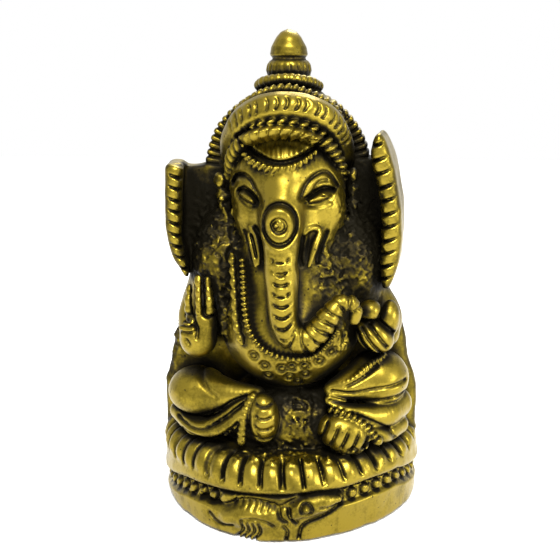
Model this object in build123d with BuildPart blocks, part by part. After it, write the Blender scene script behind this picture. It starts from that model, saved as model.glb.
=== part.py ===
"""Seated elephant-headed figure cast in brass, on a lotus seat over an oval plinth.

Frame: +Z up, the figure faces -Y, its own right hand is on -X. The origin is the
middle of the underside. The casting is one lump of metal, so every solid below is one
modelled feature of it, cut to sit face to face against the features it grows from.
"""

import os
from math import cos, pi, radians, sin, sqrt

from build123d import *

# ---- driving dimensions, in millimetres and degrees ----------------------------------

idol_height = 76.0
base_half_width = 21.5
base_front = 17.3
base_back = 17.8
widest_y = 2.0  # the base is widest on this line
seam_tilt = 3.0  # the two seams round the base rise towards +X by this angle
plinth_top = 5.0
band_top = 7.0
seat_top = 13.0
slab_top = 55.0  # the back slab ends here and the halo goes on
halo_radius = 12.7
crown_y = 2.0  # the crown and the finial have their own upright axis here
collar_foot = 67.0
tip_foot = 72.2
skin = 0.6  # how far a raised ornament stands out of the surface it lies on
seam_turn = 127.0  # where a ball's seam lies round its axis, counted from +X

os.makedirs("parts", exist_ok=True)


# ---- helpers -------------------------------------------------------------------------

def limb(points, radii):
    """A tapering limb: a ball at each point and a cone between each pair of points."""
    with BuildPart() as shape:
        for point, radius in zip(points, radii):
            with Locations(Location(point)):
                Sphere(radius, rotation=(0, 0, seam_turn))
        for start, end, near, far in zip(points, points[1:], radii, radii[1:]):
            way = Vector(*end) - Vector(*start)
            foot = (Align.CENTER, Align.CENTER, Align.MIN)
            with Locations(Plane(origin=start, z_dir=way).location):
                if near == far:
                    Cylinder(near, way.length, align=foot)
                else:
                    Cone(near, far, way.length, align=foot)
    return shape.part


def strand(points, thread, bead, pitch):
    """A string of beads: a thin limb through the points with a ball at every pitch."""
    bead_spots = []
    left = pitch / 2
    for start, end in zip(points, points[1:]):
        way = Vector(*end) - Vector(*start)
        while left < way.length:
            bead_spots.append(Location(Vector(*start) + way.normalized() * left))
            left += pitch
        left -= way.length
    thread_limb = limb(points, [thread] * len(points))
    with BuildPart() as shape:
        add(thread_limb)
        with Locations(bead_spots):
            Sphere(bead, rotation=(0, 0, seam_turn))
    return shape.part


def seat_on(*hosts):
    """Cuts the piece being built back to the faces of the pieces that it sits on."""
    for host in hosts:
        add(host.part, mode=Mode.SUBTRACT)


def finish(piece, name):
    """Labels a finished piece and writes its file."""
    piece.part.label = name
    export_step(piece.part, f"parts/{name}.step")


# ---- base ----------------------------------------------------------------------------

band_recess = 0.8
foot_round = 0.9
shoulder_round = 3.2
bead_count = 46
bead_radius = 0.75
mouse_turn = 0.5  # the mouse spans this turn each way from the front, in radians
mouse_reach = 17.8  # the mouse's back is cut flat this far in front of the middle


def base_block(inset, height):
    """A block with the base's plan: a half ellipse in front, another one behind."""
    across = base_half_width - inset
    front = base_front + widest_y - inset
    back = base_back - widest_y - inset
    with BuildPart() as block:
        with BuildSketch(Plane.XY):
            with BuildLine():
                EllipticalCenterArc((0, widest_y), across, front, start_angle=180, arc_size=180)
                EllipticalCenterArc((0, widest_y), across, back, start_angle=0, arc_size=180)
            make_face()
        extrude(amount=height)
    return block.part


def on_base(turn, inset):
    """The point of the base's plan at a turn from the front, in radians."""
    half_depth = base_front + widest_y if cos(turn) > 0 else base_back - widest_y
    x = (base_half_width - inset) * sin(turn)
    y = widest_y - (half_depth - inset) * cos(turn)
    return x, y


def seam(level):
    """The tilted plane of a seam that crosses the z axis at a level."""
    tilt = radians(seam_tilt)
    return Plane(origin=(0, 0, level), z_dir=(-sin(tilt), 0, cos(tilt)))


full_block = base_block(0, seat_top)
recessed_block = base_block(band_recess, seat_top)

with BuildPart() as plinth:
    add(full_block)
    fillet(plinth.edges().group_by(Axis.Z)[0], foot_round)
    split(bisect_by=seam(plinth_top), keep=Keep.BOTTOM)
finish(plinth, "plinth")

# No bead stands where the plan's two half ellipses meet, nor behind the mouse.
beads = []
for number in range(bead_count):
    turn = 2 * pi * (number + 0.5) / bead_count
    if cos(turn) > cos(mouse_turn):
        continue
    x, y = on_base(turn, band_recess + 0.2)
    middle = (plinth_top + band_top) / 2 + x * sin(radians(seam_tilt))
    beads.append(limb([(x, y, middle)], [bead_radius]))
with BuildPart() as bead_band:
    add(recessed_block)
    split(bisect_by=seam(plinth_top), keep=Keep.TOP)
    split(bisect_by=seam(band_top), keep=Keep.BOTTOM)
    for bead in beads:
        add(bead)
finish(bead_band, "bead_band")

with BuildPart() as lotus_cushion:
    add(full_block)
    fillet(lotus_cushion.edges().group_by(Axis.Z)[-1], shoulder_round)
    split(bisect_by=seam(band_top), keep=Keep.TOP)
finish(lotus_cushion, "lotus_cushion")

# Petals lie on the cushion's rounded shoulder, each one a slim peg bent over it from
# the top face down to the rim.
petal_count = 40
petal_radius = 0.95
petal_line = [(2.4, 1.0), (1.5, 1.5), (0.95, 2.3)]  # inset, depth under the top face
petals = []
for number in range(petal_count):
    turn = 2 * pi * (number + 0.5) / petal_count
    petal_path = [(*on_base(turn, inset), seat_top - depth) for inset, depth in petal_line]
    petals.append(limb(petal_path, [petal_radius] * len(petal_path)))
with BuildPart() as lotus_petals:
    add(petals)
    seat_on(lotus_cushion)
finish(lotus_petals, "lotus_petals")

# The mouse lies along the front of the plinth, its head towards +X.
mouse_body = limb([(-6.2, -15.5, 3.6), (-3.4, -16.0, 4.2), (1.6, -16.5, 4.2)], [1.4, 1.8, 1.2])
mouse_head = limb([(3.0, -16.3, 4.7), (6.9, -15.9, 5.4)], [1.6, 0.6])
mouse_hind_leg = limb([(-4.6, -16.6, 3.0), (-3.8, -16.9, 1.9), (-3.4, -17.0, 1.0)], [0.8, 0.6, 0.4])
mouse_fore_leg = limb([(1.9, -16.7, 3.7), (2.1, -17.0, 2.0), (2.7, -17.0, 1.0)], [0.9, 0.6, 0.4])
with BuildPart() as mouse:
    add(mouse_body)
    add(mouse_head)
    add(mouse_hind_leg)
    add(mouse_fore_leg)
    split(bisect_by=Plane.XZ.offset(mouse_reach), keep=Keep.BOTTOM)
    add(full_block, mode=Mode.SUBTRACT)
finish(mouse, "mouse")


# ---- body ----------------------------------------------------------------------------

# The slab behind the figure narrows from the seat to the head and its back is rounded.
slab_front = 3.0
slab_levels = [  # height, half width, depth
    (seat_top, 20.6, 13.6),
    (24.0, 20.0, 12.6),
    (36.0, 17.9, 10.6),
    (slab_top, 13.2, 6.8),
]
with BuildPart() as back_slab:
    for level, half_width, depth in slab_levels:
        with BuildSketch(Plane.XY.offset(level)):
            with BuildLine():
                EllipticalCenterArc((0, slab_front), half_width, depth, start_angle=0, arc_size=180)
                Line((-half_width, slab_front), (half_width, slab_front))
            make_face()
    loft()
finish(back_slab, "back_slab")

seat_mass = limb([(-4.6, -1.0, seat_top + 2.0), (4.8, -1.0, seat_top + 2.0)], [7.2, 7.0])
with BuildPart() as seat_ground:
    add(seat_mass)
    split(bisect_by=Plane.XY.offset(seat_top), keep=Keep.TOP)
    seat_on(back_slab)
finish(seat_ground, "seat_ground")

belly_centre = (0.3, -2.1, 30.7)
belly_radius = 10.3
trunk_of_body = limb([belly_centre, (0, -1.2, 40.6)], [belly_radius, 8.2])
with BuildPart() as torso:
    add(trunk_of_body)
    seat_on(seat_ground, back_slab)
finish(torso, "torso")

shoulder_mass_right = limb([(-9.6, -0.6, 44.4), (-11.0, -0.8, 38.4)], [3.8, 4.4])
with BuildPart() as shoulder_right:
    add(shoulder_mass_right)
    seat_on(torso, back_slab)
finish(shoulder_right, "shoulder_right")

shoulder_mass_left = limb([(9.1, -0.6, 44.6), (10.2, -0.8, 38.9)], [3.8, 4.4])
with BuildPart() as shoulder_left:
    add(shoulder_mass_left)
    seat_on(torso, back_slab)
finish(shoulder_left, "shoulder_left")


# ---- head ----------------------------------------------------------------------------

skull_path = [(-0.2, -1.0, 54.2), (0.1, -1.8, 50.4), (0.4, -2.9, 45.8)]
skull_radii = [9.1, 8.4, 6.3]
skull = limb(skull_path, skull_radii)
with BuildPart() as head:
    add(skull)
    seat_on(torso, shoulder_right, shoulder_left, back_slab)
finish(head, "head")

trunk_path = [
    (0, -7.6, 53.0),
    (-0.4, -9.6, 49.0),
    (-0.4, -11.2, 44.2),
    (-0.3, -12.2, 40.0),
    (-0.1, -12.8, 35.8),
    (0.6, -13.1, 32.8),
    (2.6, -13.2, 31.3),
    (4.9, -13.0, 32.6),
    (6.8, -12.6, 35.4),
    (8.3, -12.2, 37.1),
    (9.7, -11.8, 36.9),
    (10.3, -11.5, 35.2),
]
trunk_radii = [3.0, 3.0, 2.8, 2.4, 2.2, 2.1, 2.0, 1.9, 1.6, 1.4, 1.2, 0.9]
trunk_limb = limb(trunk_path, trunk_radii)
with BuildPart() as trunk:
    add(trunk_limb)
    seat_on(head, torso)
finish(trunk, "trunk")

with BuildPart() as trunk_boss:
    with BuildSketch(Plane.XZ.offset(11.6)):
        with Locations((-0.5, 48.9)):
            Ellipse(2.0, 2.4)
    extrude(amount=1.9)
    fillet(trunk_boss.edges().group_by(Axis.Y)[0], 0.7)
    seat_on(trunk, head)
finish(trunk_boss, "trunk_boss")


def eye_shape(side, centre, slant):
    """An almond eyeball with an upper lid that runs from its inner to its outer corner."""
    x, y, z = centre
    ball = limb([(x - side * 1.0, y - 0.6, z - slant), (x + side * 1.0, y + 0.8, z + slant)], [0.8, 0.8])
    lid_path = [(x - side * 2.1, y - 1.1, z + 0.1), (x, y, z + 1.4), (x + side * 2.0, y + 1.9, z + 0.5)]
    lid = limb(lid_path, [0.45, 0.55, 0.45])
    return ball, lid


eyeball_right, lid_right = eye_shape(-1, (-5.7, -7.9, 51.8), -0.2)
with BuildPart() as eye_right:
    add(eyeball_right)
    add(lid_right)
    seat_on(head, trunk)
finish(eye_right, "eye_right")

eyeball_left, lid_left = eye_shape(1, (4.9, -8.4, 52.8), 0.3)
with BuildPart() as eye_left:
    add(eyeball_left)
    add(lid_left)
    seat_on(head, trunk)
finish(eye_left, "eye_left")

tusk_limb_right = limb([(-4.9, -7.6, 47.2), (-4.5, -8.9, 44.4), (-3.9, -9.8, 41.6)], [0.9, 0.8, 0.5])
with BuildPart() as tusk_right:
    add(tusk_limb_right)
    seat_on(head, trunk, torso)
finish(tusk_right, "tusk_right")

tusk_limb_left = limb([(4.4, -7.8, 47.0), (3.7, -9.2, 44.6), (2.9, -10.0, 41.8)], [1.1, 0.9, 0.5])
with BuildPart() as tusk_left:
    add(tusk_limb_left)
    seat_on(head, trunk, torso)
finish(tusk_left, "tusk_left")


# ---- crown ---------------------------------------------------------------------------

crown_axis = (-0.3, crown_y)
dome = limb([(*crown_axis, 57.2), (*crown_axis, collar_foot - 5.5)], [9.4, 5.4])
with BuildPart() as crown_dome:
    add(dome)
    split(bisect_by=Plane.XY.offset(slab_top), keep=Keep.TOP)
    seat_on(head)
finish(crown_dome, "crown_dome")

halo_front = 1.5
halo_back = 6.0
with BuildPart() as crown_halo:
    with BuildSketch(Plane.XZ.offset(-halo_back)):
        with Locations((0, slab_top)):
            Circle(halo_radius)
            Rectangle(2 * halo_radius, halo_radius, align=(Align.CENTER, Align.MAX), mode=Mode.SUBTRACT)
        with Locations((0, collar_foot)):
            Rectangle(2 * halo_radius, halo_radius, align=(Align.CENTER, Align.MIN), mode=Mode.SUBTRACT)
    extrude(amount=halo_back - halo_front)
    seat_on(head, crown_dome)
finish(crown_halo, "crown_halo")

band_path = [
    (-10.2, 0, 56.0),
    (-8.4, -3.8, 60.2),
    (-5.3, -6.6, 63.1),
    (-0.6, -8.0, 64.7),
    (4.1, -7.0, 63.8),
    (7.4, -3.8, 60.9),
    (9.4, 0, 56.2),
]
band_radii = [1.7, 2.0, 2.1, 2.2, 2.1, 2.0, 1.7]
band_limb = limb(band_path, band_radii)
with BuildPart() as crown_band:
    add(band_limb)
    seat_on(head, crown_dome, crown_halo)
finish(crown_band, "crown_band")

rope_path = [
    (-9.4, -2.0, 54.2),
    (-8.3, -4.9, 57.6),
    (-6.0, -7.6, 60.0),
    (-0.3, -9.6, 61.8),
    (5.6, -7.6, 59.5),
    (7.7, -4.9, 56.8),
    (8.7, -2.0, 53.6),
]
rope_limb = limb(rope_path, [0.8, 0.9, 1.0, 1.05, 1.0, 0.9, 0.8])
with BuildPart() as crown_rope:
    add(rope_limb)
    seat_on(head, crown_band, crown_dome)
finish(crown_rope, "crown_rope")

crown_bead_path = [
    (-8.9, 0.6, 62.2),
    (-6.2, -3.0, 65.6),
    (-0.5, -4.6, 67.4),
    (5.2, -3.0, 65.9),
    (7.9, 0.6, 62.6),
]
crown_bead_limb = limb(crown_bead_path, [0.65, 0.75, 0.8, 0.75, 0.65])
with BuildPart() as crown_beads:
    add(crown_bead_limb)
    seat_on(crown_band, crown_dome, crown_halo)
finish(crown_beads, "crown_beads")

# The collar is three rings, each one smaller than the ring under it.
collar_rings = [(collar_foot, 4.2), (69.0, 3.9), (70.4, 3.5), (tip_foot - 0.4, 3.1)]
with BuildPart() as finial_collar:
    for (foot, radius), (head_level, _) in zip(collar_rings, collar_rings[1:]):
        with BuildSketch(Plane.XY.offset(foot)):
            with Locations(crown_axis):
                Circle(radius)
        extrude(amount=head_level - foot)
    fillet(finial_collar.edges().filter_by(GeomType.CIRCLE).group_by(Axis.Z)[-1], 0.4)
    seat_on(crown_band, crown_beads)
finish(finial_collar, "finial_collar")

tip_neck = 2.2
tip_radius = 3.0
tip_base = tip_foot - 0.4
with BuildPart() as finial_tip:
    with BuildSketch(Plane(origin=(*crown_axis, 0), x_dir=(1, 0, 0), z_dir=(0, -1, 0))):
        with BuildLine():
            Polyline((0, idol_height), (0, tip_base), (tip_neck, tip_base), (tip_radius, tip_foot + 0.3))
            Spline((tip_radius, tip_foot + 0.3), (1.9, 74.7), (0, idol_height), tangents=[(0, 1), (-1, 0)])
        make_face()
    revolve(axis=Axis((*crown_axis, 0), (0, 0, 1)))
finish(finial_tip, "finial_tip")

# The brow ornament lies on the forehead: a fluted lens inside a looped rope.
raised_skull = limb(skull_path, [radius + skin for radius in skull_radii])
with BuildPart() as brow_fan:
    with BuildSketch(Plane.XZ.offset(6)):
        with BuildLine():
            ThreePointArc((-5.3, 59.4), (-0.9, 57.6), (3.7, 59.2))
            ThreePointArc((3.7, 59.2), (-0.8, 61.0), (-5.3, 59.4))
        make_face()
    extrude(amount=8)
    add(raised_skull, mode=Mode.INTERSECT)
    seat_on(head, crown_rope, crown_band)
finish(brow_fan, "brow_fan")

brow_path = [(-6.1, -7.3, 58.4), (-4.4, -8.6, 57.0), (-1.3, -9.5, 56.4), (2.0, -9.1, 57.0), (4.4, -7.9, 58.8)]
brow_limb = limb(brow_path, [0.45, 0.6, 0.7, 0.6, 0.45])
with BuildPart() as brow_rope:
    add(brow_limb)
    seat_on(head, brow_fan, crown_rope)
finish(brow_rope, "brow_rope")


# ---- ears ----------------------------------------------------------------------------

ear_front = 5.5  # distance of the ears' rims in front of the middle
ear_depth = 9.0
ear_back_wall = 2.6

with BuildPart() as ear_right:
    with BuildSketch(Plane.XZ.offset(ear_front)):
        with BuildLine():
            Spline((-18.4, 55.6), (-19.2, 48.5), (-18.3, 42.2), (-16.8, 38.6))
            Line((-16.8, 38.6), (-16.0, 38.6))
            Spline((-16.0, 38.6), (-15.2, 42.6), (-15.4, 48.5), (-15.0, 55.6))
            Line((-15.0, 55.6), (-18.4, 55.6))
        make_face()
    extrude(amount=-ear_depth)
    with BuildSketch(Plane.XZ.offset(ear_front - ear_depth)):
        with Locations((-12.7, 47.6)):
            Rectangle(8.0, 15.0)
    extrude(amount=ear_back_wall)
    seat_on(head, shoulder_right, torso, back_slab, crown_band, crown_rope, crown_dome, crown_halo)
finish(ear_right, "ear_right")

with BuildPart() as ear_left:
    with BuildSketch(Plane.XZ.offset(ear_front)):
        with BuildLine():
            Spline((14.3, 61.0), (16.3, 55.0), (17.4, 47.4), (16.8, 41.2), (15.4, 37.4))
            Line((15.4, 37.4), (14.6, 37.4))
            Spline((14.6, 37.4), (13.3, 42.4), (13.1, 48.8), (12.8, 55.4), (13.6, 61.0))
            Line((13.6, 61.0), (14.3, 61.0))
        make_face()
    extrude(amount=-ear_depth)
    with BuildSketch(Plane.XZ.offset(ear_front - ear_depth)):
        with Locations((11.2, 47.6)):
            Rectangle(8.0, 15.0)
    extrude(amount=ear_back_wall)
    seat_on(head, shoulder_left, torso, back_slab, crown_band, crown_rope, crown_dome, crown_halo)
finish(ear_left, "ear_left")


# ---- arms ----------------------------------------------------------------------------

forearm_limb_right = limb([(-12.4, 1.0, 36.0), (-15.6, 0.4, 29.6), (-14.4, -3.6, 28.0)], [3.2, 3.2, 2.4])
with BuildPart() as forearm_right:
    add(forearm_limb_right)
    seat_on(shoulder_right, ear_right, torso, back_slab)
finish(forearm_right, "forearm_right")

palm_right = limb([(-14.0, -5.4, 28.4), (-14.3, -5.6, 31.4)], [2.9, 2.7])
thumb_right = limb([(-16.4, -5.6, 30.0), (-16.3, -6.4, 33.2)], [1.1, 0.8])
fingers_right = [
    limb([(-14.0, -6.2, 30.0), (x, -6.9, knuckle), (x, -5.9, tip)], [1.1, 0.95, 0.8])
    for x, knuckle, tip in [(-14.8, 32.4, 37.8), (-12.9, 33.4, 38.0), (-11.5, 32.6, 37.0)]
]
with BuildPart() as hand_right:
    add(palm_right)
    add(thumb_right)
    add(fingers_right)
    seat_on(forearm_right, torso, shoulder_right, back_slab)
finish(hand_right, "hand_right")

forearm_limb_left = limb([(12.6, 1.0, 36.4), (15.2, 0.4, 30.6), (14.0, -3.4, 29.6)], [3.0, 3.0, 2.4])
with BuildPart() as forearm_left:
    add(forearm_limb_left)
    seat_on(shoulder_left, ear_left, torso, back_slab)
finish(forearm_left, "forearm_left")

palm_left = limb([(13.7, -5.4, 30.8), (13.4, -5.7, 32.9)], [3.4, 3.4])
fingers_left = [
    limb([(15.6, -7.0, level - 0.6), (12.6, -9.0, level), (10.9, -8.4, level + 0.6)], [0.9, 0.9, 0.7])
    for level in [30.4, 31.9, 33.4]
]
with BuildPart() as hand_left:
    add(palm_left)
    add(fingers_left)
    seat_on(forearm_left, torso, shoulder_left, back_slab, trunk)
finish(hand_left, "hand_left")

sweet = limb([(11.3, -8.6, 35.4), (11.4, -8.5, 36.9)], [1.9, 0.7])
with BuildPart() as modak:
    add(sweet)
    seat_on(hand_left, trunk, torso, forearm_left, shoulder_left)
finish(modak, "modak")


# ---- legs ----------------------------------------------------------------------------

leg_limb_right = limb([(-15.0, -4.2, 19.2), (-9.0, -7.4, 20.0), (-4.2, -8.6, 20.8)], [3.9, 2.7, 1.4])
with BuildPart() as leg_right:
    add(leg_limb_right)
    seat_on(seat_ground, torso, back_slab, forearm_right, hand_right, lotus_cushion, lotus_petals)
finish(leg_right, "leg_right")

leg_limb_left = limb([(14.6, -4.2, 22.6), (10.6, -7.2, 22.2), (7.2, -8.6, 21.6)], [4.2, 3.1, 1.6])
with BuildPart() as leg_left:
    add(leg_limb_left)
    seat_on(seat_ground, torso, back_slab, forearm_left, hand_left, lotus_cushion, lotus_petals)
finish(leg_left, "leg_left")

hem_limb_right = limb([(-16.6, -3.6, 15.4), (-12.0, -8.2, 15.2), (-7.4, -9.8, 17.0)], [2.8, 2.2, 1.5])
with BuildPart() as hem_right:
    add(hem_limb_right)
    seat_on(leg_right, seat_ground, back_slab, lotus_cushion, lotus_petals)
finish(hem_right, "hem_right")

hem_limb_left = limb([(16.6, -3.6, 16.6), (14.0, -7.4, 16.6), (12.6, -9.2, 15.8)], [3.2, 2.6, 1.8])
with BuildPart() as hem_left:
    add(hem_limb_left)
    seat_on(leg_left, seat_ground, back_slab, lotus_cushion, lotus_petals)
finish(hem_left, "hem_left")

foot_limb_right = limb([(-3.1, -10.5, 19.5), (-3.1, -10.9, 16.6)], [2.4, 2.5])
with BuildPart() as foot_right:
    add(foot_limb_right)
    seat_on(leg_right, hem_right, seat_ground, lotus_cushion, lotus_petals, torso)
finish(foot_right, "foot_right")

foot_limb_left = limb([(7.9, -10.0, 16.9), (10.4, -10.4, 15.7)], [3.1, 3.1])
with BuildPart() as foot_left:
    add(foot_limb_left)
    seat_on(leg_left, hem_left, seat_ground, lotus_cushion, lotus_petals, torso)
finish(foot_left, "foot_left")

anklet_path_right = [(-4.0, -9.6, 21.4), (-5.3, -10.6, 19.2), (-5.8, -11.0, 17.0), (-6.0, -11.2, 14.6)]
anklet_strand_right = strand(anklet_path_right, 0.5, 0.75, 1.2)
with BuildPart() as anklet_right:
    add(anklet_strand_right)
    seat_on(foot_right, leg_right, hem_right, seat_ground, lotus_cushion, lotus_petals)
finish(anklet_right, "anklet_right")

anklet_path_left = [(7.0, -10.6, 19.9), (9.3, -11.4, 19.5), (11.9, -11.3, 17.9), (13.8, -10.6, 15.6)]
anklet_strand_left = strand(anklet_path_left, 0.6, 0.85, 1.2)
with BuildPart() as anklet_left:
    add(anklet_strand_left)
    seat_on(foot_left, leg_left, hem_left, seat_ground, lotus_cushion, lotus_petals)
finish(anklet_left, "anklet_left")


# ---- ornaments on the belly ----------------------------------------------------------

def on_belly(x, z):
    """The depth of the belly's front surface at a place given by x and z."""
    rise = z - belly_centre[2]
    side = x - belly_centre[0]
    return belly_centre[1] - sqrt(belly_radius**2 - rise**2 - side**2)


garland_path = [
    (-6.5, -8.0, 42.5),
    (-6.2, -9.2, 39.2),
    (-5.9, -10.4, 36.1),
    (-5.2, -11.5, 32.9),
    (-3.6, -12.3, 30.4),
    (-1.3, -12.7, 29.1),
    (1.5, -12.8, 28.7),
    (4.3, -12.3, 29.0),
    (6.3, -11.3, 30.5),
    (7.7, -10.5, 32.6),
]
garland_strand = strand(garland_path, 0.5, 0.8, 1.28)
with BuildPart() as garland:
    add(garland_strand)
    seat_on(torso, trunk, head)
finish(garland, "garland")

leaf_path = [
    (-8.2, -5.8, 42.8),
    (-7.9, -7.4, 39.6),
    (-7.6, -8.6, 36.2),
    (-7.1, -9.4, 32.8),
    (-6.3, -10.2, 30.0),
]
leaf_strand_shape = strand(leaf_path, 0.5, 0.95, 2.0)
with BuildPart() as leaf_strand:
    add(leaf_strand_shape)
    seat_on(torso, shoulder_right, head, garland)
finish(leaf_strand, "leaf_strand")

disc_radius = 0.85
disc_height = 1.2
disc_pit = 0.4
disc_spots = [  # x and z of each disc
    (-4.5, 28.2),
    (-2.7, 26.8),
    (-0.2, 26.5),
    (3.0, 27.0),
    (5.3, 27.6),
    (7.1, 29.0),
    (-2.3, 24.6),
    (1.0, 24.8),
    (3.4, 25.2),
]
with BuildPart() as belly_discs:
    for x, z in disc_spots:
        y = on_belly(x, z)
        way = Vector(x, y, z) - Vector(*belly_centre)
        with BuildSketch(Plane(origin=(x, y, z), z_dir=way)):
            Circle(disc_radius)
            Circle(disc_pit, mode=Mode.SUBTRACT)
        extrude(amount=disc_height / 2, both=True)
    seat_on(torso, garland)
finish(belly_discs, "belly_discs")
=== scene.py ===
"""Aged brass idol of the seated elephant-headed figure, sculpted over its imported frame.

The casting is one lump of metal, so its skin is sculpted as one field: the distance in
millimetres from any point to the surface. Each feature is blended into the field with
clay-like calls, chased with grooves and punches, and remembers which CAD node it stands
for. The field is then turned into a mesh, and each node's share of it becomes a piece.
"""
from math import cos, pi, radians, sin

import bpy
import numpy as np
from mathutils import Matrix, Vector


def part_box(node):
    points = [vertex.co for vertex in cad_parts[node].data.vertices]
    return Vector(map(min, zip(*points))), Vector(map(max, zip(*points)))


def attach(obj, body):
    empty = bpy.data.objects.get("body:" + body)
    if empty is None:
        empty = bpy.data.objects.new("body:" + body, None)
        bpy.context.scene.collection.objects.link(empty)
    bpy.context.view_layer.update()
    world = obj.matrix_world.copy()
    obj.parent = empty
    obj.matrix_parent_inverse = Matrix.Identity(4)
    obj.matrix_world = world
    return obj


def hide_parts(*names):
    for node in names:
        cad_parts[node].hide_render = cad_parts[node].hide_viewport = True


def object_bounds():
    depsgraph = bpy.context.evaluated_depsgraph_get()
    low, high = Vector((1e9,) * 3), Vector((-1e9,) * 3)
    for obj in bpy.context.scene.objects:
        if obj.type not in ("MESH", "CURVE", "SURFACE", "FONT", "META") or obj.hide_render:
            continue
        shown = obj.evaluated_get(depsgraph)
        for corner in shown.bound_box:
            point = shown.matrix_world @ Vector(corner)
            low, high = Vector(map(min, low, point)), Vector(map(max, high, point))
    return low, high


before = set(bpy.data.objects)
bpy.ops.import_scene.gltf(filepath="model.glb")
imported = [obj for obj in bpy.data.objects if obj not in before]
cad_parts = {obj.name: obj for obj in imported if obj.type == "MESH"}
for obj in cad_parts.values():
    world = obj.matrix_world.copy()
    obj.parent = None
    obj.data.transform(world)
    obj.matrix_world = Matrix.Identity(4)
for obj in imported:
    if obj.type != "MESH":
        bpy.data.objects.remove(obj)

cad_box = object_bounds()

MM = 0.001
VOXEL = 0.2  # mm
BLOCK = 8  # voxels along a block's side
FAR = 20.0  # mm, the distance held where nothing is near
NODES = sorted(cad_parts)
NUMBER = {name: number for number, name in enumerate(NODES)}
chance = np.random.default_rng(11)

# The stretch of y, in mm, that a line drawn on the front cuts into.
FACE_FRONT = (-14, -2)
PALM_FRONT = (-12, -4)
FIST_FRONT = (-13, -4)
LEG_FRONT = (-16, -2)
TOE_FRONT = (-18, -9)
ROPE_FRONT = (-12, -3)


# ---- the field ----

def smooth(points, step=0.7):
    """A smooth run through the given points (or sizes)."""
    points = np.asarray(points, float)
    if len(points) < 2:
        return points
    ends = np.concatenate([[2 * points[0] - points[1]], points, [2 * points[-1] - points[-2]]])
    samples = []
    for a, b, c, d in zip(ends, ends[1:], ends[2:], ends[3:]):
        count = max(2, int(np.ceil(np.linalg.norm((c - b)[:3]) / step)))
        t = (np.arange(count) / count)[:, None]
        samples.append(0.5 * (
            2 * b + (c - a) * t + (2 * a - 5 * b + 4 * c - d) * t**2 + (3 * b - a - 3 * c + d) * t**3
        ))
    samples.append(points[-1:])
    return np.concatenate(samples)


LATTICE = chance.uniform(-1, 1, (32, 32, 32)).astype(np.float32)


def noise(p, grain, shift=0.0):
    """Smooth noise from -1 to 1 with lumps of about one grain, in mm."""
    q = p / np.float32(grain) + np.float32(shift)
    base = np.floor(q)
    t = q - base
    t = t * t * (3 - 2 * t)
    i = base.astype(np.int32) & 31
    j = (i + 1) & 31
    total = 0.0
    for dx in (0, 1):
        ix = (i, j)[dx][..., 0]
        wx = t[..., 0] if dx else 1 - t[..., 0]
        for dy in (0, 1):
            iy = (i, j)[dy][..., 1]
            wy = t[..., 1] if dy else 1 - t[..., 1]
            for dz in (0, 1):
                iz = (i, j)[dz][..., 2]
                wz = t[..., 2] if dz else 1 - t[..., 2]
                total = total + LATTICE[ix, iy, iz] * wx * wy * wz
    return total


def bump(r, width):
    """A soft hump, 1 where r is 0 and about nothing beyond twice the width."""
    return np.exp(-((r / width) ** 2))


def step(x, low, high):
    """0 below low, 1 above high, smooth between."""
    t = np.clip((x - low) / (high - low), 0, 1)
    return t * t * (3 - 2 * t)


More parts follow.
